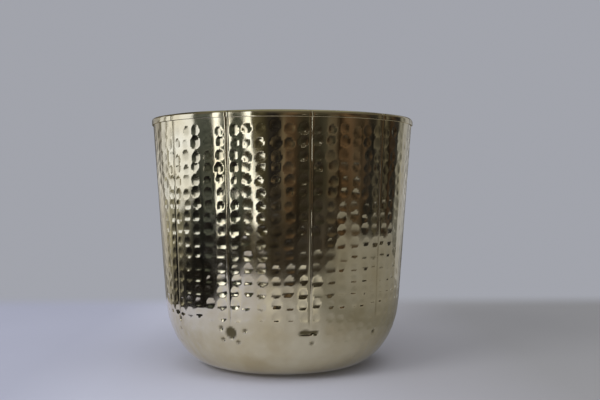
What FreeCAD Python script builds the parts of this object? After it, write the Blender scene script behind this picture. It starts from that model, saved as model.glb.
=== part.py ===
import FreeCAD, Part
import math
import os

# Cachepot of hammered sheet brass: a tapered tub of eleven bowed lobes on a rounded heel,
# with a brass rim band folded over a steel wire, and felt pads under its foot.
# Millimetres, +Z up, origin on the surface that it stands on, at the pot's own axis.

# Overall size
rim_radius = 125.0
overall_height = 231.5

# Sheet and wall
sheet = 1.0
wall_taper = 0.0702
wall_inset = 1.2

# Heel: a quarter ellipse between the flat foot and the wall
heel_reach = 46.6
heel_rise = 72.9
heel_turn_shares = (0.0, 0.11, 0.22, 0.33, 0.44, 0.55, 0.66, 0.77, 0.88, 1.0)

# Lobes: the crown's height above the crease, and where the creases start and are full
lobe_rise = 0.9
crease_foot_height = 43.0
crease_full_height = 62.0
crease_angles = (-51.7, -22.4, 11.2, 45.0, 77.6, 110.9, 143.2, 176.4, 209.8, 242.3, 275.6)

# Each lobe is beaten in upright columns, which leave flats this wide at the rim
column_width = 12.0

# Punched dimple that ends each crease
dimple_radius = 11.0
dimple_depth = 1.4
dimple_height = 42.0
dimple_depth_shares = (0.45, 1.0, 0.75, 0.4, 0.6, 0.9, 0.5, 0.7, 0.45, 0.85, 0.6)

# Foot: the middle is pressed up to a flat dish, so that the pot stands on a ring
dish_radius = 44.0
dish_top_radius = 37.0
dish_rise = 2.0

# Rim band: a brass strip folded over the wall's edge and a wire
rim_height = 5.9
rim_width = 4.4
rim_sheet = 0.7
rim_corner = 0.8
rim_arch_flat_count = 12
fold_clearance = 0.05

# Steel wire in the fold
wire_clearance = 0.05
wire_flat_count = 12

# Felt pads
pad_count = 4
pad_radius = 8.0
pad_thickness = 1.2
pad_circle_radius = 55.0
pad_first_angle = 45.0

# Length that a cutting shape runs past what it cuts
overrun = 5.0

UP = FreeCAD.Vector(0, 0, 1)
rim_foot = overall_height - rim_height
wire_height = overall_height - rim_width / 2
wire_radius = rim_width / 2 - rim_sheet - wire_clearance
wall_top = wire_height - wire_radius - fold_clearance


def polar(radius, degrees, z):
    """Point at a radius and an angle, which runs from the front towards +X."""
    turn = math.radians(degrees)
    return FreeCAD.Vector(radius * math.sin(turn), -radius * math.cos(turn), z)


def wall_radius(z):
    """Outer radius of the lobes' crowns on the straight wall."""
    return rim_radius - wall_inset - wall_taper * (rim_foot - z)


def heel_end_turn():
    """Turn along the heel's ellipse at which it runs into the wall."""
    return math.atan(heel_reach / (heel_rise * wall_taper))


def heel_point(turn, inset):
    """Radius and height on the heel at a turn from the foot, inset from the outer face."""
    end = heel_end_turn()
    top = pad_thickness + heel_rise * (1 - math.cos(end))
    foot_radius = wall_radius(top) - heel_reach * math.sin(end)
    radius = foot_radius + (heel_reach - inset) * math.sin(turn)
    return radius, pad_thickness + inset + (heel_rise - inset) * (1 - math.cos(turn))


def crease_share(z):
    """How deep a crease is at a height: 0 below its foot and 1 where it is full, with soft ends."""
    along = (z - crease_foot_height) / (crease_full_height - crease_foot_height)
    along = min(max(along, 0), 1)
    return along * along * (3 - 2 * along)


def lobe_radius(crown_radius, rise, half, turn):
    """Radius of a lobe's bow at a turn from its middle, where half is half the lobe's angle."""
    ratio = crown_radius / (crown_radius - rise)
    lift = (ratio - math.cos(half)) / math.sin(half)
    half_arc = 2 * math.atan(lift)
    bow = (crown_radius - rise) * math.sin(half) / math.sin(half_arc)
    offset = crown_radius - bow
    return offset * math.cos(turn) + math.sqrt(bow**2 - (offset * math.sin(turn)) ** 2)


def lobed_outline(crown_radius, rise, z):
    """Closed outline at one height: each lobe is a bow of chords, one for each column."""
    points = []
    ends = crease_angles[1:] + (crease_angles[0] + 360.0,)
    for start, end in zip(crease_angles, ends):
        half = math.radians(end - start) / 2
        columns = round(2 * half * rim_radius / column_width)
        for i in range(columns):
            turn = half * (2 * i / columns - 1)
            radius = lobe_radius(crown_radius, rise, half, turn)
            points.append(polar(radius, (start + end) / 2 + math.degrees(turn), z))
    return Part.makePolygon(points + points[:1])


def tub(inset, top):
    """Solid of the whole lobed form up to a height, inset from the outer face."""
    sections = []
    for share in heel_turn_shares:
        radius, z = heel_point(share * heel_end_turn(), inset)
        sections.append(lobed_outline(radius, lobe_rise * crease_share(z), z))
    sections.append(lobed_outline(wall_radius(top) - inset, lobe_rise, top))
    return Part.makeLoft(sections, True, True)


def dimples(inset):
    """Balls that punch the crease ends, grown by the sheet for the inner side."""
    turn = math.acos(1 - (dimple_height - pad_thickness) / heel_rise)
    radius, z = heel_point(turn, 0)
    slope = math.atan2(heel_reach * math.cos(turn), heel_rise * math.sin(turn))
    balls = []
    for angle, depth_share in zip(crease_angles, dimple_depth_shares):
        lift = dimple_radius - dimple_depth * depth_share
        centre = polar(radius + lift * math.cos(slope), angle, z - lift * math.sin(slope))
        balls.append(Part.makeSphere(dimple_radius + inset, centre))
    return balls


def foot_dish(inset):
    """Flat cone that presses the middle of the foot up, grown by the sheet for the inner side."""
    slope = math.atan2(dish_rise, dish_radius - dish_top_radius)
    growth = inset * math.tan(slope / 2)
    base = FreeCAD.Vector(0, 0, pad_thickness + inset)
    return Part.makeCone(dish_radius + growth, dish_top_radius + growth, dish_rise, base, UP)


def pressed_tub(inset, top):
    """Lobed form with the dimples and the foot's dish pressed into it."""
    return tub(inset, top).cut(dimples(inset) + [foot_dish(inset)])


def make_body_shell():
    """One sheet for wall, heel and foot, the same thickness in every crease and dimple."""
    return pressed_tub(0, wall_top).cut(pressed_tub(sheet, wall_top + overrun))


def arch(across, flats):
    """Corners of a round top over the wire, from the outer side to the inner one."""
    step = math.pi * 2 / flats
    radius = across / math.cos(step / 2)
    turns = [step * (i + 0.5) for i in range(flats // 2)]
    centre = -rim_width / 2
    return [(centre + radius * math.cos(t), wire_height + radius * math.sin(t)) for t in turns]


def along_lobes(corners):
    """Sweeps a closed section, drawn with x = 0 on the rim's outer face, round all the lobes."""
    outline = lobed_outline(rim_radius, lobe_rise, 0)
    points = [vertex.Point for vertex in outline.OrderedVertexes]
    start = (points[0] + points[1]) * 0.5
    path = Part.makePolygon([start] + points[1:] + [points[0], start])
    along = (points[1] - points[0]).normalize()
    out = along.cross(UP)
    section = [start + out * x + UP * z for x, z in corners]
    wire = Part.makePolygon(section + section[:1])
    return path.makePipeShell([wire], True, False, 1)


def make_rim_band():
    """Brass strip folded over the wire, down outside the wall and down inside it."""
    outer_lip = fold_clearance - wall_inset + wall_taper * rim_sheet
    inner_lip = -fold_clearance - wall_inset - sheet
    lip_top = rim_foot + rim_sheet
    inside_right, inside_left = -rim_sheet, rim_sheet - rim_width
    corners = [(outer_lip, rim_foot), (-rim_corner, rim_foot), (0, rim_foot + rim_corner)]
    corners += arch(rim_width / 2, rim_arch_flat_count)
    corners += [(-rim_width, rim_foot), (inner_lip, rim_foot), (inner_lip, lip_top)]
    corners += [(inside_left, lip_top)]
    corners += reversed(arch(rim_width / 2 - rim_sheet, wire_flat_count))
    corners += [(inside_right, lip_top), (outer_lip, lip_top)]
    return along_lobes(corners)


def make_rim_wire():
    """Steel wire that stiffens the rim inside its fold."""
    top = arch(wire_radius, wire_flat_count)
    bottom = [(x, 2 * wire_height - z) for x, z in reversed(top)]
    return along_lobes(top + bottom)


def make_felt_pads():
    """Round felt pads, stuck to the foot's flat ring."""
    pads = []
    for i in range(pad_count):
        spot = polar(pad_circle_radius, pad_first_angle + 360.0 * i / pad_count, 0)
        pads.append(Part.makeCylinder(pad_radius, pad_thickness, spot, UP))
    return Part.makeCompound(pads)


def main():
    makers = {
        "body_shell": make_body_shell,
        "rim_band": make_rim_band,
        "rim_wire": make_rim_wire,
        "felt_pads": make_felt_pads,
    }
    os.makedirs("parts", exist_ok=True)
    for name, make in makers.items():
        shape = make()
        shape.exportStep("parts/" + name + ".step")
        print(name, shape.isValid(), len(shape.Solids), len(shape.Faces), round(shape.Volume))


main()
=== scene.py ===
import copy
import math

import bpy
import numpy as np
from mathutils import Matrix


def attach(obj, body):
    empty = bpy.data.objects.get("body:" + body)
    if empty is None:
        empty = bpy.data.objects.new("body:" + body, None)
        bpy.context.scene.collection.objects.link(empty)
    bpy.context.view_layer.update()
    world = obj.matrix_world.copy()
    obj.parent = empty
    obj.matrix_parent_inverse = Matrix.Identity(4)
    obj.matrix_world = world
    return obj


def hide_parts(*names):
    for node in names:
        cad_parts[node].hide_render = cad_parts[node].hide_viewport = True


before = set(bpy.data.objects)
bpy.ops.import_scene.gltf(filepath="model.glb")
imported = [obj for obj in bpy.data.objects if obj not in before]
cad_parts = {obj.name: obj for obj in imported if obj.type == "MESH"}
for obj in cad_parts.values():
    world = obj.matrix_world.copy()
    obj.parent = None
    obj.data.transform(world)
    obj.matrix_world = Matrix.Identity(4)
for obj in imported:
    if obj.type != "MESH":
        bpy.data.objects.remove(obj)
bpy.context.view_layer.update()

# The pot's main sizes in metres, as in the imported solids.
rim_radius = 0.125
overall_height = 0.2315
sheet = 0.001
wall_taper = 0.0702
wall_inset = 0.0012
heel_reach = 0.0466
heel_rise = 0.0729
lobe_rise = 0.0009
crease_foot_height = 0.043
crease_full_height = 0.062
crease_angles = (-51.7, -22.4, 11.2, 45.0, 77.6, 110.9, 143.2, 176.4, 209.8, 242.3, 275.6)
column_width = 0.012
dish_radius = 0.044
dish_top_radius = 0.037
dish_rise = 0.002
rim_height = 0.0059
rim_width = 0.0044
rim_sheet = 0.0007
pad_thickness = 0.0012
rim_foot = overall_height - rim_height
wall_overlap = 0.0022
wall_top = rim_foot + wall_overlap
skin_inset = 0.00012

# Hammer marks: rows of shallow round dents, one column for each flat of the solids.
dent_rows = 24
dent_pitch = 0.01053
dent_first_drop = 0.0134
dent_radius = 0.0040
dent_depth = 0.00036
dent_edge = 0.07
dent_skew = 0.20
dent_wander = 0.0008
dent_size_spread = 0.11
dent_depth_spread = 0.25
dent_depth_limit = 0.6
dent_fade_rows = (0, 4, 7, 9, 11, 13, 16, 18, 20, 23)
dent_fade_shares = (1.0, 0.92, 0.74, 0.66, 0.72, 0.95, 1.30, 1.20, 0.55, 0.25)
dent_size_rows = (0, 4, 8, 23)
dent_size_shares = (1.14, 1.10, 1.0, 1.0)
# How hard each lobe was beaten, from the crease on the front's left round to the right.
lobe_force = (1.0, 0.86, 0.80, 0.72, 0.80, 1.0, 0.85, 0.95, 1.0, 0.58, 0.76)

# Slight unevenness of the whole sheet.
wave_depth = 0.00012
wave_rows = 20
wave_columns = 66

# How far the hand-beaten lobes lean round the pot from top to foot, in degrees, at angles from
# the front.
lean_angles = (-180.0, -150.0, -117.7, -84.4, -51.7, -22.4, 11.2, 45.0, 77.6, 110.9, 180.0)
lean_turns = (0.0, 0.0, -1.0, -3.2, -5.2, -1.7, 0.8, 3.0, 2.0, 0.0, 0.0)
lean_foot = 0.042
lean_top = 0.220

# Groove along each crease.
groove_half_width = 0.0014
groove_depth = 0.00068
groove_wave = 0.65
groove_wave_count = 25

# Punched dimples at the foot of the creases: angle, height, radius, stretch sideways, depth.
dimple_marks = (
    (-51.7, 0.0508, 0.0032, 1.0, 0.0010),
    (-53.2, 0.0410, 0.0024, 1.0, 0.0008),
    (-22.4, 0.0434, 0.0064, 0.9, 0.0020),
    (-26.9, 0.0474, 0.0024, 1.2, 0.0010),
    (-26.8, 0.0370, 0.0022, 1.4, 0.0010),
    (-19.7, 0.0354, 0.0023, 1.3, 0.0010),
    (-16.0, 0.0460, 0.0024, 1.2, 0.0010),
    (9.6, 0.0442, 0.0036, 2.0, 0.0014),
    (13.9, 0.0446, 0.0028, 1.5, 0.0011),
    (12.8, 0.0346, 0.0021, 1.5, 0.0009),
    (45.7, 0.0398, 0.0028, 1.0, 0.0010),
    (77.6, 0.0430, 0.0044, 1.0, 0.0010),
    (81.5, 0.0400, 0.0024, 1.0, 0.0005),
    (110.9, 0.0420, 0.0052, 0.9, 0.0014),
    (106.8, 0.0450, 0.0026, 1.0, 0.0005),
    (115.2, 0.0395, 0.0026, 1.0, 0.0005),
    (143.2, 0.0410, 0.0038, 1.1, 0.0009),
    (176.4, 0.0425, 0.0046, 1.0, 0.0011),
    (180.6, 0.0380, 0.0026, 1.0, 0.0005),
    (209.8, 0.0420, 0.0036, 1.0, 0.0008),
    (242.3, 0.0420, 0.0050, 0.9, 0.0013),
    (238.0, 0.0370, 0.0025, 1.0, 0.0005),
    (275.6, 0.0415, 0.0040, 1.1, 0.0010),
    (279.4, 0.0445, 0.0024, 1.0, 0.0005),
)
dimple_lowest = 0.015
dimple_edge = 0.12

# Darkened brass.
dent_tarnish = 0.32
dent_tarnish_range = (0.07, 0.12)
tarnish_range = (0.42, 0.72)
groove_tarnish = 0.35

# Mesh counts and places.
segments_per_lobe = 48
usual_lobe_width = 0.072
heel_samples = 400
dish_rings = (0.012, 0.024, 0.032)
dish_steps = 6
foot_rings = (0.049, 0.055, 0.061)
heel_split = 0.025
probe_turn = 0.12
probe_step = 0.0003
hammered_rows = 124
heel_rows = 13
inner_rows = 66
arch_segments = 14
lip_segments = 6
seed = 7

# Whole and half turns in degrees.
full_turn = 360.0
half_turn = 180.0

# Camera: place in metres, drop below level and turn to the right in degrees, lens in millimetres.
camera_place = (0.0, -0.8125, 0.1666)
camera_drop = 0.80
camera_turn = 1.18
level_tilt = 90.0
lens_length = 50.35
sensor_width = 36.0

# Stage: the table's edge round the pot, as the metal shows it, and the reach of what stands round it.
table_outline = (
    (-0.29, -0.44),
    (0.34, -0.44),
    (0.72, -0.58),
    (0.80, -0.33),
    (0.92, 0.0),
    (1.08, 0.45),
    (-0.29, 0.37),
)
room_radius = 2.5
window_radius = 2.45
floor_reach = 6.0
floor_drop = 0.0006


# Shape of the sheet
def wall_radius(height):
    """Outer radius of the plain wall at a height, at the crown of a lobe."""
    return rim_radius - wall_inset - wall_taper * (rim_foot - height)


def heel_end():
    """Turn of the heel's curve at which it runs into the wall."""
    return math.atan(heel_reach / (heel_rise * wall_taper))


def smooth_share(value, low, high):
    """Rises smoothly from 0 at low to 1 at high."""
    share = np.clip((value - low) / (high - low), 0, 1)
    return share * share * (3 - 2 * share)


def heel_points(turns):
    """Radius and height along the heel's curve."""
    heel_top = pad_thickness + heel_rise * (1 - math.cos(heel_end()))
    foot_radius = wall_radius(heel_top) - heel_reach * math.sin(heel_end())
    return foot_radius + heel_reach * np.sin(turns), pad_thickness + heel_rise * (1 - np.cos(turns))


def even_points(radii, heights, count):
    """The same line with evenly spaced points."""
    steps = np.hypot(np.diff(radii), np.diff(heights))
    along = np.concatenate([[0], np.cumsum(steps)])
    wanted = np.linspace(0, along[-1], count)
    return np.interp(wanted, along, radii), np.interp(wanted, along, heights)


def outer_profile():
    """Radius and height from the pot's axis under the foot to the top of the wall."""
    dish = np.linspace(0, 1, dish_steps)
    dish_radii = dish_top_radius + (dish_radius - dish_top_radius) * dish
    dish_heights = pad_thickness + dish_rise * (1 - smooth_share(dish, 0, 1))
    flat = np.array(dish_rings)
    ring = np.array(foot_rings)
    turns = np.linspace(0, heel_end(), heel_samples)
    radii, heights = heel_points(turns)
    low = heights < heel_split
    low_radii, low_heights = even_points(radii[low], heights[low], heel_rows)
    tall_radii = np.append(radii[~low], wall_radius(wall_top))
    tall_heights = np.append(heights[~low], wall_top)
    tall_radii, tall_heights = even_points(tall_radii, tall_heights, hammered_rows)
    radii = np.concatenate([flat, dish_radii, ring, low_radii, tall_radii])
    flat_heights = np.full(len(flat), pad_thickness + dish_rise)
    ring_heights = np.full(len(ring), pad_thickness)
    heights = np.concatenate([flat_heights, dish_heights, ring_heights, low_heights, tall_heights])
    return radii, heights


class Profile:
    """Rows of the sheet's profile: place, outward direction and distance down from the wall's top."""

    def __init__(self, radii, heights):
        """Works out direction and distance from the places."""
        rise_r = np.gradient(radii)
        rise_z = np.gradient(heights)
        size = np.hypot(rise_r, rise_z)
        steps = np.hypot(np.diff(radii), np.diff(heights))
        along = np.concatenate([[0], np.cumsum(steps)])
        self.radii = radii
        self.heights = heights
        self.out_r = rise_z / size
        self.out_z = -rise_r / size
        self.drops = along[-1] - along

    def moved(self, step):
        """The same rows moved up along the profile."""
        other = copy.copy(self)
        other.radii = self.radii - self.out_z * step
        other.heights = self.heights + self.out_r * step
        other.drops = self.drops - step
        return other

    def picked(self, rows):
        """Only some of the rows."""
        other = copy.copy(self)
        for name in ("radii", "heights", "out_r", "out_z", "drops"):
            setattr(other, name, getattr(self, name)[rows])
        return other


def lobe_columns():
    """Angles in degrees round the pot, with extra ones at the edges of each crease's groove."""
    ends = list(crease_angles) + [crease_angles[0] + full_turn]
    near = np.array([0, groove_half_width / 2, groove_half_width]) / usual_lobe_width
    middle = np.linspace(near[-1], 1 - near[-1], segments_per_lobe - len(near))
    shares = np.concatenate([near, middle[1:], [1 - near[1]]])
    angles = [left + (right - left) * shares for left, right in zip(ends[:-1], ends[1:])]
    return np.concatenate(angles)


def lobe_ends(angles):
    """Number and two creases of each angle's lobe, and the angle on the same turn as these."""
    ends = np.array(list(crease_angles) + [crease_angles[0] + full_turn])
    around = (angles - ends[0]) % full_turn + ends[0]
    lobes = np.clip(np.searchsorted(ends, around, side="right") - 1, 0, len(crease_angles) - 1)
    return lobes, ends[lobes], ends[lobes + 1], around


def lobed(crowns, rises, angles):
    """Radius of the bowed lobes for rows of crown radius and columns of angle."""
    left, right, around = lobe_ends(angles)[1:]
    half = np.radians(right - left)[None, :] / 2
    turn = np.radians(around - (left + right) / 2)[None, :]
    crown = crowns[:, None]
    ratio = crown / (crown - rises[:, None])
    lift = (ratio - np.cos(half)) / np.sin(half)
    half_arc = 2 * np.arctan(lift)
    bow = (crown - rises[:, None]) * np.sin(half) / np.sin(half_arc)
    offset = crown - bow
    return offset * np.cos(turn) + np.sqrt(bow**2 - (offset * np.sin(turn)) ** 2)


def soft_cap(distance_share, edge):
    """Height of a round cap, 1 at the middle, with its edge eased out."""
    cap = 1 - distance_share**2
    return (cap + np.sqrt(cap * cap + edge * edge)) / 2


def blended(values, row, column, after, side, lift):
    """Values between the points of a grid, blended from the four nearest."""
    low = values[row][:, column] * (1 - side) + values[row][:, after] * side
    high = values[row + 1][:, column] * (1 - side) + values[row + 1][:, after] * side
    return low * (1 - lift) + high * lift


class HammerMarks:
    """Places and sizes of the hammer marks, uneven as hand work is."""

    def __init__(self):
        """Draws every mark's own wander from the seed."""
        rng = np.random.default_rng(seed)
        count = len(crease_angles)
        most = int(np.ceil(np.radians(full_turn / count) * rim_radius / column_width)) + 1
        shape = (count, dent_rows, most)
        column_shift = rng.normal(0, dent_wander / 2, (count, 1, most))
        row_shift = rng.normal(0, dent_wander / 2, (count, dent_rows, 1))
        fade = np.interp(np.arange(dent_rows), dent_fade_rows, dent_fade_shares)[None, :, None]
        self.side = rng.normal(0, dent_wander, shape) + column_shift
        self.drop = rng.normal(0, dent_wander, shape) + row_shift
        usual = np.interp(np.arange(dent_rows), dent_size_rows, dent_size_shares)[None, :, None]
        self.size = dent_radius * usual * (1 + rng.normal(0, dent_size_spread, shape))
        spread = rng.normal(0, dent_depth_spread, shape).clip(-dent_depth_limit, dent_depth_limit)
        self.depth = dent_depth * (1 + spread) * fade * np.array(lobe_force)[:, None, None]
        self.waves = rng.uniform(0, wave_depth, (wave_rows, wave_columns))

    def wave(self, angles, profile):
        """Slight unevenness of the whole sheet, left by beating it over a stake."""
        across = (angles % full_turn) / full_turn * wave_columns
        upward = profile.heights / overall_height * (wave_rows - 1)
        column = np.floor(across).astype(int)
        row = np.clip(np.floor(upward).astype(int), 0, wave_rows - 2)
        side = smooth_share(across - column, 0, 1)[None, :]
        lift = smooth_share(upward - row, 0, 1)[:, None]
        column = column % wave_columns
        after = (column + 1) % wave_columns
        return blended(self.waves, row, column, after, side, lift)

    def press(self, angles, profile):
        """How deep the marks press into each point of the sheet."""
        lobes, left, right, around = lobe_ends(angles)
        columns = np.round(np.radians(right - left) * rim_radius / column_width).astype(int)
        cell = (right - left) / columns
        cell_place = (around - left) / cell - 0.5
        row_place = (profile.drops - dent_first_drop) / dent_pitch
        deepest = np.zeros((len(profile.radii), len(angles)))
        for column_step in (0, 1):
            column = np.clip(np.floor(cell_place).astype(int) + column_step, 0, columns - 1)
            for row_step in (0, 1):
                row = np.clip(np.floor(row_place).astype(int) + row_step, 0, dent_rows - 1)
                pick = (lobes[None, :], row[:, None], column[None, :])
                side = np.radians((cell_place - column) * cell)[None, :] * profile.radii[:, None]
                down = (row_place - row)[:, None] * dent_pitch
                down = down - self.drop[pick]
                down = down * np.where(down > 0, 1 + dent_skew, 1 - dent_skew)
                distance = np.hypot(side - self.side[pick], down) / self.size[pick]
                deepest = np.maximum(deepest, self.depth[pick] * soft_cap(distance, dent_edge))
        return deepest


def dimple_press(angles, profile):
    """How deep the punched dimples press into each point of the sheet."""
    press = np.zeros((len(profile.radii), len(angles)))
    above_foot = (profile.heights > dimple_lowest)[:, None]
    for angle, height, radius, stretch, depth in dimple_marks:
        turn = np.radians((angles - angle + half_turn) % full_turn - half_turn)
        side = turn[None, :] * profile.radii[:, None] / stretch
        up = (profile.heights - height)[:, None]
        distance = np.hypot(side, up) / radius
        press = press + np.where(above_foot, depth * soft_cap(distance, dimple_edge), 0)
    return press


def crease_shares(profile):
    """How far the creases have come out at each row."""
    return smooth_share(profile.heights, crease_foot_height, crease_full_height)


def groove_shares(profile):
    """How strong the creases' grooves are at each row, a little uneven from top to foot."""
    rng = np.random.default_rng(seed)
    places = np.linspace(0, overall_height, groove_wave_count)
    wave = np.interp(profile.heights, places, rng.uniform(0, groove_wave, groove_wave_count))
    return crease_shares(profile) * (1 - wave)


def groove_press(angles, radii, shares):
    """How deep the groove along each crease presses into the sheet."""
    left, right, around = lobe_ends(angles)[1:]
    turn = np.radians(np.minimum(around - left, right - around))
    side = turn[None, :] * radii[:, None] / groove_half_width
    return groove_depth * shares[:, None] * (1 + np.cos(math.pi * np.clip(side, 0, 1))) / 2


def tarnish_map(angles, profile, marks):
    """Where the brass has darkened: dimples, creases and, a little, the hammer marks."""
    deepest = max(mark[-1] for mark in dimple_marks)
    dimples = np.sqrt(np.clip(dimple_press(angles, profile) / deepest, 0, 1))
    grooves = groove_press(angles, profile.radii, groove_shares(profile)) / groove_depth
    dents = np.clip(marks.press(angles, profile) / dent_depth, 0, 1)
    dents = dents * smooth_share(profile.heights, *dent_tarnish_range)[:, None]
    tarnish = smooth_share(dimples, *tarnish_range) + groove_tarnish * grooves + dent_tarnish * dents
    return np.clip(tarnish, 0, 1)


def leaned(angles, heights):
    """Angles round the pot after the lobes' slight lean, for rows of height."""
    around = (angles + half_turn) % full_turn - half_turn
    share = 1 - np.clip((heights - lean_foot) / (lean_top - lean_foot), 0, 1)
    return angles[None, :] + np.interp(around, lean_angles, lean_turns)[None, :] * share


def ring_points(angles, radii, heights):
    """Points round the pot for rows of radius and height."""
    turn = np.radians(leaned(angles, heights))
    across = radii * np.sin(turn)
    along = -radii * np.cos(turn)
    return np.stack([across, along, np.broadcast_to(heights, radii.shape)], axis=-1)


def skin_points(angles, profile, marks, depth):
    """Points of the marked sheet at a depth under its outer side."""
    smooth = lobed(profile.radii, lobe_rise * crease_shares(profile), angles)
    press = marks.press(angles, profile) + marks.wave(angles, profile) + depth
    press = press + dimple_press(angles, profile)
    press = press + groove_press(angles, profile.radii, groove_shares(profile))
    radii = smooth - press * profile.out_r[:, None]
    heights = profile.heights[:, None] - press * profile.out_z[:, None]
    return ring_points(angles, radii, heights)


def skin_normals(angles, profile, marks, depth):
    """Outward directions of the marked sheet, so that its marks shade as round as they are."""
    after = skin_points(angles + probe_turn, profile, marks, depth)
    before = skin_points(angles - probe_turn, profile, marks, depth)
    above = skin_points(angles, profile.moved(probe_step), marks, depth)
    below = skin_points(angles, profile.moved(-probe_step), marks, depth)
    normals = np.cross(after - before, above - below)
    return normals / np.linalg.norm(normals, axis=-1, keepdims=True)


# Mesh helpers
def grid_faces(rows, columns, first, closed=False):
    """Faces of a grid of points that closes round the pot, and over its rows too if asked."""
    faces = []
    for row in range(rows if closed else rows - 1):
        low = first + row * columns
        high = first + (row + 1) % rows * columns
        for column in range(columns):
            after = (column + 1) % columns
            faces.append((low + column, low + after, high + after, high + column))
    return faces


def make_object(name, points, faces, material, tarnish):
    """A smooth-shaded piece of the pot, with how far each of its points has tarnished."""
    mesh = bpy.data.meshes.new(name)
    mesh.from_pydata([tuple(point) for point in points], [], faces)
    mesh.polygons.foreach_set("use_smooth", [True] * len(mesh.polygons))
    layer = mesh.attributes.new("tarnish", "FLOAT", "POINT")
    layer.data.foreach_set("value", np.asarray(tarnish, dtype=np.float32))
    mesh.materials.append(material)
    piece = bpy.data.objects.new(name, mesh)
    bpy.context.scene.collection.objects.link(piece)
    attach(piece, "root")
    return piece


def joining_faces(half, first_high, last_high, last_inner):
    """Faces where the wall's close columns meet the wide ones of the foot and the inner side."""
    columns = 2 * half
    last_low = first_high - half
    faces = []
    for column in range(half):
        after = (column + 1) % half
        left = 2 * column
        middle = left + 1
        right = (left + 2) % columns
        faces.append((last_low + column, last_low + after, first_high + middle))
        faces.append((last_low + column, first_high + middle, first_high + left))
        faces.append((last_low + after, first_high + right, first_high + middle))
        faces.append((last_high + left, last_high + middle, last_inner + column))
        faces.append((last_high + middle, last_inner + after, last_inner + column))
        faces.append((last_high + middle, last_high + right, last_inner + after))
    return faces


def centre_faces(half, first_inner, centre):
    """Fans of faces that close the foot on its two sides."""
    faces = []
    for column in range(half):
        after = (column + 1) % half
        faces.append((centre, after, column))
        faces.append((centre + 1, first_inner + column, first_inner + after))
    return faces


def make_hammered_body(material):
    """The one sheet of the wall, heel and foot, with its hammer marks on both sides."""
    angles = lobe_columns()
    wide_angles = angles[::2]
    radii, heights = outer_profile()
    profile = Profile(radii - skin_inset, heights)
    marks = HammerMarks()
    foot_rows = len(dish_rings) + dish_steps + len(foot_rings)
    foot = profile.picked(np.arange(foot_rows))
    wall = profile.picked(np.arange(foot_rows, len(radii)))
    inner_picks = np.round(np.linspace(foot_rows, len(radii) - 1, inner_rows)).astype(int)
    inner = profile.picked(np.concatenate([np.arange(foot_rows), inner_picks]))

    sides = ((wide_angles, foot, 0.0), (angles, wall, 0.0), (wide_angles, inner, sheet))
    points = []
    normals = []
    tarnish = []
    for columns, rows, depth in sides:
        points.append(skin_points(columns, rows, marks, depth).reshape(-1, 3))
        normals.append(skin_normals(columns, rows, marks, depth).reshape(-1, 3))
        tarnish.append(tarnish_map(columns, rows, marks).ravel())
    normals[-1] = -normals[-1]
    foot_middle = float(heights[0])
    points.append(np.array([(0, 0, foot_middle), (0, 0, foot_middle + sheet)]))
    normals.append(np.array([(0, 0, -1), (0, 0, 1)]))
    tarnish.append(np.zeros(2))

    half = len(wide_angles)
    first_wall = foot_rows * half
    first_inner = first_wall + len(wall.radii) * 2 * half
    centre = first_inner + len(inner.radii) * half
    faces = grid_faces(foot_rows, half, 0)
    faces += grid_faces(len(wall.radii), 2 * half, first_wall)
    faces += [face[::-1] for face in grid_faces(len(inner.radii), half, first_inner)]
    faces += joining_faces(half, first_wall, first_inner - 2 * half, centre - half)
    faces += centre_faces(half, first_inner, centre)
    body = make_object(
        "hammered_body", np.concatenate(points), faces, material, np.concatenate(tarnish)
    )
    body.data.normals_split_custom_set_from_vertices(np.concatenate(normals).tolist())
    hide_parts("body_shell")


def half_circle(middle_r, middle_z, radius, count, side):
    """Points of half a circle from its inner to its outer end, over or under its middle."""
    points = []
    for turn in np.radians(np.linspace(half_turn, 0, count + 1)):
        outward = middle_r + radius * math.cos(turn)
        upward = middle_z + side * radius * math.sin(turn)
        points.append((outward, upward))
    return points


def rim_section():
    """Outline of the folded strip, outward from the rim's crown and upward from its foot."""
    radius = rim_width / 2
    lip = rim_sheet / 2
    spring = rim_height - radius
    outer_lip = half_circle(-lip, lip, lip, lip_segments, -1)
    outer_arch = half_circle(-radius, spring, radius, arch_segments, 1)
    inner_lip = half_circle(lip - rim_width, lip, lip, lip_segments, -1)
    inner_arch = half_circle(-radius, spring, radius - rim_sheet, arch_segments, 1)
    outer_wall = [(0.0, spring / 2)]
    inner_wall = [(-rim_width, spring / 2)]
    return np.array(outer_lip + outer_wall + outer_arch[::-1] + inner_wall + inner_lip + inner_arch)


def make_rim_roll(material):
    """The strip folded over the wall's edge, following the lobes and dipping in at each crease."""
    angles = lobe_columns()
    section = rim_section()
    crown = np.array([rim_radius - skin_inset])
    outline = lobed(crown, np.array([lobe_rise]), angles) - groove_press(angles, crown, np.ones(1))
    radii = outline + section[:, :1]
    heights = rim_foot + section[:, 1:2]
    points = ring_points(angles, radii, heights).reshape(-1, 3)
    faces = grid_faces(len(section), len(angles), 0, closed=True)
    roll = make_object("rim_roll", points, faces, material, np.zeros(len(points)))
    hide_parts("rim_band")


# Materials
brass_clouds = ((0.34, (0.75, 0.64, 0.39)), (0.64, (0.91, 0.82, 0.57)))
brass_cloud_scale = 26
brass_cloud_detail = 5
brass_dark = (0.17, 0.14, 0.07, 1)
brass_rub_scale = 60
brass_rub_detail = 6
brass_rub_range = (0.35, 0.75)
brass_roughness = (0.07, 0.17)
scratch_scale = 900
scratch_detail = 2
scratch_stretch = (1, 1, 0.12)
scratch_strength = 0.10
scratch_depth = 0.0001
steel_grain = ((0.3, (0.32, 0.32, 0.33)), (0.7, (0.5, 0.5, 0.5)))
steel_grain_scale = 300
steel_grain_detail = 3
steel_roughness = 0.35
felt_fibres = ((0.3, (0.02, 0.02, 0.022)), (0.7, (0.07, 0.068, 0.065)))
felt_fibre_scale = 1600
felt_fibre_detail = 6
felt_fibre_strength = 0.6
felt_fibre_depth = 0.0004
felt_roughness = 0.95
felt_sheen = 0.4
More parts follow.
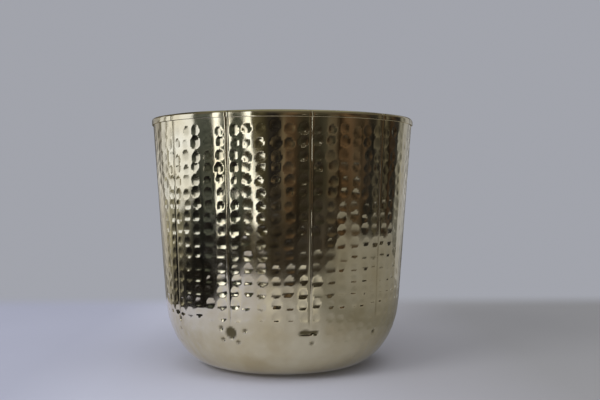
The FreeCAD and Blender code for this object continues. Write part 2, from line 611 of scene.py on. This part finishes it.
floor_folds = ((0.3, (0.94, 0.94, 0.94)), (0.7, (1.0, 1.0, 1.0)))
floor_fold_scale = 2.2
floor_fold_detail = 2
# Painted light and shade on the cloth from left to right, lighter and bluer on the left and darker to
# the right, as it is seen and as the metal shows it.
painted_shade_range = (-0.35, 0.45)
floor_painted_shade = (
    (0.0, (0.52, 0.54, 0.66)),
    (0.15, (0.54, 0.56, 0.68)),
    (0.24, (0.62, 0.64, 0.76)),
    (0.38, (0.65, 0.66, 0.76)),
    (0.57, (0.50, 0.50, 0.54)),
    (0.74, (0.41, 0.41, 0.42)),
    (1.0, (0.38, 0.38, 0.385)),
)
# Painted shade on the table top that only the metal shows, darker to the right.
table_painted_shade = (
    (0.0, (0.49, 0.52, 0.74)),
    (0.38, (0.43, 0.435, 0.50)),
    (0.66, (0.178, 0.178, 0.174)),
    (0.85, (0.21, 0.21, 0.21)),
    (1.0, (0.24, 0.24, 0.24)),
)
# Painted light: the table top glows a little by itself, for the light that the pot throws back on the
# cloth round it, as the metal shows it.
table_painted_glow = 0.25
floor_back_range = (0.36, 0.50)
floor_far_range = (0.90, 1.70)
floor_roughness = 0.9


def new_material(name):
    """An empty node material and its node tree."""
    material = bpy.data.materials.new(name)
    material.use_nodes = True
    material.node_tree.nodes.clear()
    return material, material.node_tree


def link_surface(tree, shader):
    """Joins a shader to the material's output."""
    output = tree.nodes.new("ShaderNodeOutputMaterial")
    tree.links.new(shader.outputs[0], output.inputs["Surface"])


def noise_node(tree, coordinates, scale, detail, stretch=(1, 1, 1)):
    """A noise pattern fixed to the object's own coordinates."""
    mapping = tree.nodes.new("ShaderNodeMapping")
    mapping.inputs["Scale"].default_value = stretch
    tree.links.new(coordinates.outputs["Object"], mapping.inputs["Vector"])
    noise = tree.nodes.new("ShaderNodeTexNoise")
    noise.inputs["Scale"].default_value = scale
    noise.inputs["Detail"].default_value = detail
    tree.links.new(mapping.outputs["Vector"], noise.inputs["Vector"])
    return noise


def ramp_node(tree, source, stops):
    """A colour ramp over a pattern's value."""
    ramp = tree.nodes.new("ShaderNodeValToRGB")
    elements = ramp.color_ramp.elements
    while len(elements) < len(stops):
        elements.new(0.5)
    for element, (place, colour) in zip(elements, stops):
        element.position = place
        element.color = (*colour, 1)
    tree.links.new(source, ramp.inputs["Fac"])
    return ramp


def range_node(tree, source, limits, results=(0.0, 1.0)):
    """A pattern's value carried from one range to another."""
    spread = tree.nodes.new("ShaderNodeMapRange")
    spread.interpolation_type = "SMOOTHSTEP"
    spread.inputs["From Min"].default_value = limits[0]
    spread.inputs["From Max"].default_value = limits[1]
    spread.inputs["To Min"].default_value = results[0]
    spread.inputs["To Max"].default_value = results[1]
    tree.links.new(source, spread.inputs["Value"])
    return spread


def bump_node(tree, source, strength, depth):
    """Fine relief from a pattern's value."""
    bump = tree.nodes.new("ShaderNodeBump")
    bump.inputs["Strength"].default_value = strength
    bump.inputs["Distance"].default_value = depth
    tree.links.new(source, bump.inputs["Height"])
    return bump


def math_node(tree, operation, first, second):
    """The outcome of one operation on two values."""
    node = tree.nodes.new("ShaderNodeMath")
    node.operation = operation
    tree.links.new(first, node.inputs[0])
    tree.links.new(second, node.inputs[1])
    return node.outputs[0]


def seen_rays(tree):
    """One for the rays of the camera and of metal and glass, nought for light that falls on things."""
    path = tree.nodes.new("ShaderNodeLightPath")
    seen = math_node(tree, "MAXIMUM", path.outputs["Is Camera Ray"], path.outputs["Is Glossy Ray"])
    return math_node(tree, "MAXIMUM", seen, path.outputs["Is Transmission Ray"])


def brass_material():
    """Polished brass with faint clouding and fine scratches, darker where it has tarnished."""
    material, tree = new_material("polished_brass")
    coordinates = tree.nodes.new("ShaderNodeTexCoord")
    clouds = noise_node(tree, coordinates, brass_cloud_scale, brass_cloud_detail)
    tint = ramp_node(tree, clouds.outputs["Fac"], brass_clouds)
    darkened = tree.nodes.new("ShaderNodeAttribute")
    darkened.attribute_name = "tarnish"
    colour = tree.nodes.new("ShaderNodeMix")
    colour.data_type = "RGBA"
    tree.links.new(darkened.outputs["Fac"], colour.inputs["Factor"])
    tree.links.new(tint.outputs["Color"], colour.inputs["A"])
    colour.inputs["B"].default_value = brass_dark
    rub = noise_node(tree, coordinates, brass_rub_scale, brass_rub_detail)
    dull = range_node(tree, rub.outputs["Fac"], brass_rub_range, brass_roughness)
    scratches = noise_node(tree, coordinates, scratch_scale, scratch_detail, scratch_stretch)
    bump = bump_node(tree, scratches.outputs["Fac"], scratch_strength, scratch_depth)
    shader = tree.nodes.new("ShaderNodeBsdfPrincipled")
    shader.inputs["Metallic"].default_value = 1.0
    tree.links.new(colour.outputs["Result"], shader.inputs["Base Color"])
    tree.links.new(dull.outputs["Result"], shader.inputs["Roughness"])
    tree.links.new(bump.outputs["Normal"], shader.inputs["Normal"])
    link_surface(tree, shader)
    return material


def wire_material():
    """Drawn steel wire."""
    material, tree = new_material("drawn_steel")
    coordinates = tree.nodes.new("ShaderNodeTexCoord")
    grain = noise_node(tree, coordinates, steel_grain_scale, steel_grain_detail)
    tint = ramp_node(tree, grain.outputs["Fac"], steel_grain)
    shader = tree.nodes.new("ShaderNodeBsdfPrincipled")
    shader.inputs["Metallic"].default_value = 1.0
    shader.inputs["Roughness"].default_value = steel_roughness
    tree.links.new(tint.outputs["Color"], shader.inputs["Base Color"])
    link_surface(tree, shader)
    return material


def felt_material():
    """Dark pressed felt with short fibres."""
    material, tree = new_material("dark_felt")
    coordinates = tree.nodes.new("ShaderNodeTexCoord")
    fibres = noise_node(tree, coordinates, felt_fibre_scale, felt_fibre_detail)
    tint = ramp_node(tree, fibres.outputs["Fac"], felt_fibres)
    bump = bump_node(tree, fibres.outputs["Fac"], felt_fibre_strength, felt_fibre_depth)
    shader = tree.nodes.new("ShaderNodeBsdfPrincipled")
    shader.inputs["Roughness"].default_value = felt_roughness
    shader.inputs["Sheen Weight"].default_value = felt_sheen
    tree.links.new(tint.outputs["Color"], shader.inputs["Base Color"])
    tree.links.new(bump.outputs["Normal"], shader.inputs["Normal"])
    link_surface(tree, shader)
    return material


def floor_material(name, painted_shade_bands, glow=0.0):
    """Pale cloth with painted shade, darker to the right, with a painted glow where one is given, and
    blending into the surround far off.
    """
    material, tree = new_material(name)
    coordinates = tree.nodes.new("ShaderNodeTexCoord")
    folds = noise_node(tree, coordinates, floor_fold_scale, floor_fold_detail)
    tint = ramp_node(tree, folds.outputs["Fac"], floor_folds)
    split = tree.nodes.new("ShaderNodeSeparateXYZ")
    tree.links.new(coordinates.outputs["Object"], split.inputs["Vector"])
    across = range_node(tree, split.outputs["X"], painted_shade_range)
    across.interpolation_type = "LINEAR"
    # Painted shade: the cloth's colour darkens from left to right.
    fade = ramp_node(tree, across.outputs["Result"], painted_shade_bands)
    cloth = tree.nodes.new("ShaderNodeMix")
    cloth.data_type = "RGBA"
    cloth.blend_type = "MULTIPLY"
    cloth.inputs["Factor"].default_value = 1.0
    tree.links.new(fade.outputs["Color"], cloth.inputs["A"])
    tree.links.new(tint.outputs["Color"], cloth.inputs["B"])
    away = tree.nodes.new("ShaderNodeVectorMath")
    away.operation = "LENGTH"
    tree.links.new(coordinates.outputs["Object"], away.inputs[0])
    behind = range_node(tree, split.outputs["Y"], floor_back_range)
    far = range_node(tree, away.outputs["Value"], floor_far_range)
    gone = math_node(tree, "MAXIMUM", behind.outputs["Result"], far.outputs["Result"])
    shader = tree.nodes.new("ShaderNodeBsdfPrincipled")
    shader.inputs["Roughness"].default_value = floor_roughness
    shader.inputs["Specular IOR Level"].default_value = 0.0
    # Painted glow: the cloth glows by itself in its own colour.
    shader.inputs["Emission Strength"].default_value = glow
    tree.links.new(cloth.outputs["Result"], shader.inputs["Base Color"])
    tree.links.new(cloth.outputs["Result"], shader.inputs["Emission Color"])
    surround = tree.nodes.new("ShaderNodeEmission")
    surround.inputs["Color"].default_value = surround_seen
    blend = tree.nodes.new("ShaderNodeMixShader")
    tree.links.new(math_node(tree, "MULTIPLY", gone, seen_rays(tree)), blend.inputs["Fac"])
    tree.links.new(shader.outputs["BSDF"], blend.inputs[1])
    tree.links.new(surround.outputs["Emission"], blend.inputs[2])
    link_surface(tree, blend)
    return material


# Stage
# Soft bands of the room round the front of the pot: angle from the front, colour.
room_bands = (
    (-128, (0.30, 0.30, 0.26)),
    (-112, (0.26, 0.26, 0.23)),
    (-104, (0.12, 0.12, 0.11)),
    (-80, (0.072, 0.082, 0.086)),
    (-64, (0.066, 0.078, 0.082)),
    (-46, (0.064, 0.076, 0.072)),
    (-38, (0.064, 0.075, 0.075)),
    (-26, (0.092, 0.086, 0.060)),
    (-17, (0.074, 0.068, 0.048)),
    (-11, (0.028, 0.026, 0.026)),
    (-6, (0.022, 0.020, 0.022)),
    (-1, (0.050, 0.043, 0.036)),
    (3, (0.096, 0.078, 0.058)),
    (6, (0.068, 0.047, 0.033)),
    (12, (0.062, 0.042, 0.029)),
    (17, (0.046, 0.038, 0.029)),
    (22, (0.052, 0.045, 0.034)),
    (27, (0.037, 0.035, 0.028)),
    (33, (0.037, 0.035, 0.028)),
    (37, (0.084, 0.073, 0.058)),
    (43, (0.086, 0.070, 0.054)),
    (46, (0.052, 0.037, 0.026)),
    (52, (0.070, 0.046, 0.030)),
    (58, (0.062, 0.041, 0.028)),
    (66, (0.044, 0.033, 0.024)),
    (72, (0.048, 0.036, 0.026)),
    (77, (0.060, 0.042, 0.029)),
    (81, (0.026, 0.023, 0.022)),
    (87, (0.020, 0.020, 0.020)),
    (91, (0.030, 0.028, 0.026)),
    (94, (0.098, 0.092, 0.076)),
    (97, (0.082, 0.075, 0.060)),
    (99, (0.032, 0.029, 0.027)),
    (103, (0.064, 0.043, 0.030)),
    (107, (0.050, 0.037, 0.031)),
    (110, (0.018, 0.018, 0.020)),
    (116, (0.018, 0.018, 0.020)),
    (120, (0.150, 0.155, 0.160)),
    (130, (0.200, 0.205, 0.210)),
)
# The same for what lies lower than the windows.
room_low_bands = (
    (-128, (0.16, 0.16, 0.16)),
    (-114, (0.030, 0.030, 0.034)),
    (-106, (0.014, 0.014, 0.017)),
    (-60, (0.014, 0.014, 0.017)),
    (-44, (0.022, 0.022, 0.024)),
    (-30, (0.050, 0.046, 0.040)),
    (-12, (0.048, 0.042, 0.036)),
    (0, (0.032, 0.027, 0.023)),
    (30, (0.038, 0.033, 0.030)),
    (80, (0.046, 0.042, 0.038)),
    (90, (0.016, 0.016, 0.018)),
    (110, (0.022, 0.022, 0.024)),
    (130, (0.160, 0.160, 0.160)),
)
# Both again for the room behind the pot.
back_bands = (
    (145, (0.34, 0.35, 0.38)),
    (160, (0.30, 0.30, 0.31)),
    (165, (0.090, 0.084, 0.070)),
    (170, (0.046, 0.042, 0.038)),
    (171, (0.060, 0.054, 0.046)),
    (173, (0.90, 0.94, 1.10)),
    (180, (0.90, 0.94, 1.10)),
    (182, (0.060, 0.054, 0.046)),
    (188, (0.110, 0.100, 0.076)),
    (196, (0.044, 0.040, 0.036)),
    (199, (0.060, 0.056, 0.050)),
    (203, (0.30, 0.30, 0.31)),
    (232, (0.34, 0.34, 0.36)),
)
back_low_bands = (
    (145, (0.30, 0.31, 0.33)),
    (160, (0.26, 0.26, 0.28)),
    (166, (0.130, 0.128, 0.112)),
    (178, (0.150, 0.148, 0.132)),
    (186, (0.240, 0.242, 0.240)),
    (204, (0.28, 0.28, 0.30)),
    (232, (0.30, 0.30, 0.31)),
)
room_low_range = (-10.5, -5.5)
room_sunk_colour = (0.013, 0.012, 0.013)
room_sunk_range = (-17.5, -13.0)
room_shelf_colour = (0.130, 0.120, 0.100)
room_shelf_range = (10.0, 16.0)
room_patch_size = 5.0
room_patch_spread = 0.60
room_patch_limits = (0.35, 2.2)
room_centre_height = 0.12
room_turn_step = 1.0
room_lift_step = 2.0
room_ceiling_colour = (0.056, 0.056, 0.048)
room_ceiling_range = (28.0, 36.0)
room_zenith_colour = (0.26, 0.27, 0.23)
room_zenith_range = (44.0, 56.0)
room_low_turn = -50.0
room_high_turn = 88.0

# Windows: angle from the front, half width in degrees, low and high elevation, turn of the low
# end, colour.
windows = (
    (-96.2, 16.3, -4.4, 22.0, 0.0, (0.95, 1.02, 1.25)),
    (-52.3, 3.5, -7.9, 24.0, 0.0, (1.50, 1.58, 1.82)),
    (-31.2, 3.2, -9.2, 24.0, 8.8, (1.50, 1.58, 1.82)),
    (-121.5, 4.5, -4.0, 22.0, 0.0, (0.72, 0.76, 0.90)),
    (21.5, 0.8, 2.5, 6.5, 0.0, (0.50, 0.50, 0.52)),
)
window_turn_start = -3.0

# Sheen that the windows leave on the cloth in front, seen in the metal: angle from the front,
# half width in degrees, colour.
cloth_sheens = (
    (-41.0, 6.0, (0.68, 0.68, 0.72)),
    (-9.0, 8.0, (0.58, 0.58, 0.60)),
    (20.0, 6.0, (0.66, 0.66, 0.68)),
)
sheen_reach = (0.17, 0.43)
sheen_height = 0.0003
sheen_columns = 13
sheen_rows = 9
sheen_strength = 0.8

# Grid of each window.
window_columns = 7
window_rows = 25

# Lamps: name, place, aim, size, radiance.
lamps = (
    ("key_lamp", (-1.7, -1.6, 1.5), (0.0, 0.0, 0.05), 1.1, 5.6),
    ("fill_lamp", (0.3, -0.8, 2.3), (0.0, 0.0, 0.0), 1.8, 1.5),
)
surround_seen = (0.36, 0.37, 0.41, 1)
surround_light = (0.42, 0.42, 0.44, 1)


def emission_material(name, colour):
    """A plain glowing surface of one colour."""
    material, tree = new_material(name)
    shader = tree.nodes.new("ShaderNodeEmission")
    shader.inputs["Color"].default_value = (*colour, 1)
    link_surface(tree, shader)
    return material


def painted_material(name):
    """A glowing surface that takes its colour from the mesh."""
    material, tree = new_material(name)
    paint = tree.nodes.new("ShaderNodeAttribute")
    paint.attribute_name = "paint"
    shader = tree.nodes.new("ShaderNodeEmission")
    tree.links.new(paint.outputs["Color"], shader.inputs["Color"])
    link_surface(tree, shader)
    return material


def stage_mesh(name, points, faces, material):
    """A stage object, which isn't part of the pot."""
    mesh = bpy.data.meshes.new(name)
    mesh.from_pydata([tuple(point) for point in points], [], faces)
    mesh.materials.append(material)
    thing = bpy.data.objects.new(name, mesh)
    bpy.context.scene.collection.objects.link(thing)
    return thing


def reflected_only(thing):
    """The thing shows in reflections and lights nothing."""
    thing.visible_camera = False
    thing.visible_diffuse = False
    thing.visible_shadow = False


def dome_point(radius, angle, elevation):
    """A point on a ball round the pot."""
    turn = math.radians(angle)
    lift = math.radians(elevation)
    flat = radius * math.cos(lift)
    return (flat * math.sin(turn), -flat * math.cos(turn), room_centre_height + radius * math.sin(lift))


def sheet_faces(rows, columns):
    """Faces of an open grid of points."""
    faces = []
    for row in range(rows - 1):
        for column in range(columns - 1):
            corner = row * columns + column
            above = corner + columns
            faces.append((corner, corner + 1, above + 1, above))
    return faces


def dome_patch(name, radius, angles, elevations, material):
    """A patch of that ball as a grid of faces."""
    points = [dome_point(radius, angle, elevation) for elevation in elevations for angle in angles]
    return stage_mesh(name, points, sheet_faces(len(elevations), len(angles)), material)


def band_colours(bands, angles):
    """The colour at each angle, blended between the bands."""
    places = [band[0] for band in bands]
    colours = np.array([band[1] for band in bands])
    return np.stack([np.interp(angles, places, colours[:, channel]) for channel in range(3)], axis=-1)


def room_patches(angles, elevations):
    """Uneven brightness of the dim room, in soft patches."""
    rng = np.random.default_rng(seed)
    across = (angles - angles[0]) / room_patch_size
    upward = (elevations - elevations[0]) / room_patch_size
    shape = (int(upward[-1]) + 2, int(across[-1]) + 2)
    values = rng.normal(1, room_patch_spread, shape).clip(*room_patch_limits)
    column = across.astype(int)
    row = upward.astype(int)
    side = (across - column)[None, :]
    lift = (upward - row)[:, None]
    return blended(values, row, column, column + 1, side, lift)


def turn_window_foot(window, heights, columns, low, foot_turn):
    """Turns the lower rows of a window round the pot, most at its low end."""
    shares = np.clip((window_turn_start - heights) / (window_turn_start - low), 0, 1)
    for vertex in window.data.vertices:
        turn = foot_turn * shares[vertex.index // columns]
        across, along, height = vertex.co
        turned_across = across * math.cos(turn) - along * math.sin(turn)
        turned_along = across * math.sin(turn) + along * math.cos(turn)
        vertex.co = (turned_across, turned_along, height)


def make_room_side(name, bands, low_bands):
    """One side of the dim room, painted with its bands, shelf, ceiling and uneven patches."""
    angles = np.arange(bands[0][0], bands[-1][0] + room_turn_step / 2, room_turn_step)
    elevations = np.arange(room_low_turn, room_high_turn + room_lift_step / 2, room_lift_step)
    room = dome_patch(name, room_radius, angles, elevations, painted_material(name))
    across = band_colours(bands, angles)
    low = band_colours(low_bands, angles)
    share = smooth_share(elevations, *room_low_range)[:, None, None]
    paint = low[None, :, :] * (1 - share) + across[None, :, :] * share
    paint = paint * room_patches(angles, elevations)[:, :, None]
    layers = (
        (room_shelf_colour, room_shelf_range),
        (room_ceiling_colour, room_ceiling_range),
        (room_zenith_colour, room_zenith_range),
    )
    for colour, limits in layers:
        share = smooth_share(elevations, *limits)[:, None, None]
        paint = paint * (1 - share) + np.array(colour)[None, None, :] * share
    share = smooth_share(elevations, *room_sunk_range)[:, None, None]
    paint = paint * share + np.array(room_sunk_colour)[None, None, :] * (1 - share)
    layer = room.data.color_attributes.new("paint", "FLOAT_COLOR", "POINT")
    flat = np.concatenate([paint.reshape(-1, 3), np.ones((paint.shape[0] * paint.shape[1], 1))], axis=1)
    layer.data.foreach_set("color", flat.ravel())
    reflected_only(room)


def make_windows():
    """The bright windows in front of the dim room."""
    for number, (angle, half, low, high, foot_turn, colour) in enumerate(windows):
        name = f"window_{number}"
        sides = np.linspace(angle - half, angle + half, window_columns)
        heights = np.linspace(low, high, window_rows)
        window = dome_patch(name, window_radius, sides, heights, emission_material(name, colour))
        turn_window_foot(window, heights, window_columns, low, math.radians(foot_turn))
        reflected_only(window)


def sheen_material(name, colour):
    """A glow that fades out over the mesh by its painted strength."""
    material, tree = new_material(name)
    paint = tree.nodes.new("ShaderNodeAttribute")
    paint.attribute_name = "paint"
    clear = tree.nodes.new("ShaderNodeBsdfTransparent")
    glow = tree.nodes.new("ShaderNodeEmission")
    glow.inputs["Color"].default_value = (*colour, 1)
    mix = tree.nodes.new("ShaderNodeMixShader")
    tree.links.new(paint.outputs["Fac"], mix.inputs["Fac"])
    tree.links.new(clear.outputs[0], mix.inputs[1])
    tree.links.new(glow.outputs[0], mix.inputs[2])
    link_surface(tree, mix)
    return material


def make_sheens():
    """Soft patches of sheen on the cloth, brightest along their middles."""
    for number, (angle, half, colour) in enumerate(cloth_sheens):
        name = f"cloth_sheen_{number}"
        across = np.linspace(-1, 1, sheen_columns)
        along = np.linspace(0, 1, sheen_rows)
        turns = np.radians(angle + half * across)[None, :]
        reaches = (sheen_reach[0] + (sheen_reach[1] - sheen_reach[0]) * along)[:, None]
        heights = np.full((sheen_rows, sheen_columns), sheen_height)
        points = np.stack([reaches * np.sin(turns), -reaches * np.cos(turns), heights], axis=-1)
        faces = sheet_faces(sheen_rows, sheen_columns)
        sheen = stage_mesh(name, points.reshape(-1, 3), faces, sheen_material(name, colour))
        strength = sheen_strength * (1 - across**2)[None, :] * smooth_share(along, 0, 1)[:, None]
        layer = sheen.data.attributes.new("paint", "FLOAT", "POINT")
        layer.data.foreach_set("value", strength.ravel().astype(np.float32))
        reflected_only(sheen)


def make_floor():
    """The table top that the pot reflects, and the wide floor under it that is seen."""
    corners = [(across, along, 0.0) for across, along in table_outline]
    # The table top's cloth has painted shade and a painted glow.
    table_cloth = floor_material("table_cloth", table_painted_shade, table_painted_glow)
    table = stage_mesh("table_top", corners, [tuple(range(len(corners)))], table_cloth)
    reflected_only(table)
    far_corners = (
        (-floor_reach, -floor_reach, -floor_drop),
        (floor_reach, -floor_reach, -floor_drop),
        (floor_reach, floor_reach, -floor_drop),
        (-floor_reach, floor_reach, -floor_drop),
    )
    # The seen floor's cloth has painted shade, darker to the right.
    floor_cloth = floor_material("pale_floor", floor_painted_shade)
    wide = stage_mesh("wide_floor", far_corners, [(0, 1, 2, 3)], floor_cloth)
    wide.visible_glossy = False


def make_light(name, place, target, size, radiance):
    """A soft square lamp that lights the floor and isn't seen in the metal."""
    data = bpy.data.lights.new(name, "AREA")
    data.size = size
    data.energy = radiance * math.pi * size * size
    lamp = bpy.data.objects.new(name, data)
    lamp.location = place
    bpy.context.scene.collection.objects.link(lamp)
    direction = [goal - start for goal, start in zip(target, place)]
    length = math.sqrt(sum(part * part for part in direction))
    tilt = math.acos(-direction[2] / length)
    turn = math.atan2(direction[1], direction[0]) - math.pi / 2
    lamp.rotation_euler = (tilt, 0, turn)
    lamp.visible_glossy = False
    lamp.visible_camera = False


def make_world():
    """Pale grey all round for the camera and in the metal, and a dimmer even light on everything."""
    world = bpy.data.worlds.new("pale_surround")
    bpy.context.scene.world = world
    world.use_nodes = True
    tree = world.node_tree
    tree.nodes.clear()
    seen = seen_rays(tree)
    pale = tree.nodes.new("ShaderNodeBackground")
    pale.inputs["Color"].default_value = surround_seen
    even = tree.nodes.new("ShaderNodeBackground")
    even.inputs["Color"].default_value = surround_light
    mix = tree.nodes.new("ShaderNodeMixShader")
    tree.links.new(seen, mix.inputs["Fac"])
    tree.links.new(even.outputs[0], mix.inputs[1])
    tree.links.new(pale.outputs[0], mix.inputs[2])
    output = tree.nodes.new("ShaderNodeOutputWorld")
    tree.links.new(mix.outputs[0], output.inputs["Surface"])


def make_camera():
    """The camera at the photograph's place."""
    data = bpy.data.cameras.new("camera")
    data.lens = lens_length
    data.sensor_width = sensor_width
    camera = bpy.data.objects.new("camera", data)
    camera.location = camera_place
    camera.rotation_euler = (math.radians(level_tilt - camera_drop), 0, math.radians(-camera_turn))
    bpy.context.scene.collection.objects.link(camera)
    bpy.context.scene.camera = camera


def dress_node(node, material):
    """Gives a CAD node its finish."""
    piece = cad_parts[node]
    piece.data.materials.clear()
    piece.data.materials.append(material)


def main():
    """Builds the pot's visible pieces, the stage, the lamps and the camera."""
    brass = brass_material()
    make_hammered_body(brass)
    make_rim_roll(brass)
    dress_node("rim_wire", wire_material())
    dress_node("felt_pads", felt_material())
    make_floor()
    make_room_side("dim_room", room_bands, room_low_bands)
    make_room_side("dim_back", back_bands, back_low_bands)
    make_windows()
    make_sheens()
    for lamp in lamps:
        make_light(*lamp)
    make_world()
    make_camera()
    bpy.context.scene.view_settings.view_transform = "Standard"


main()
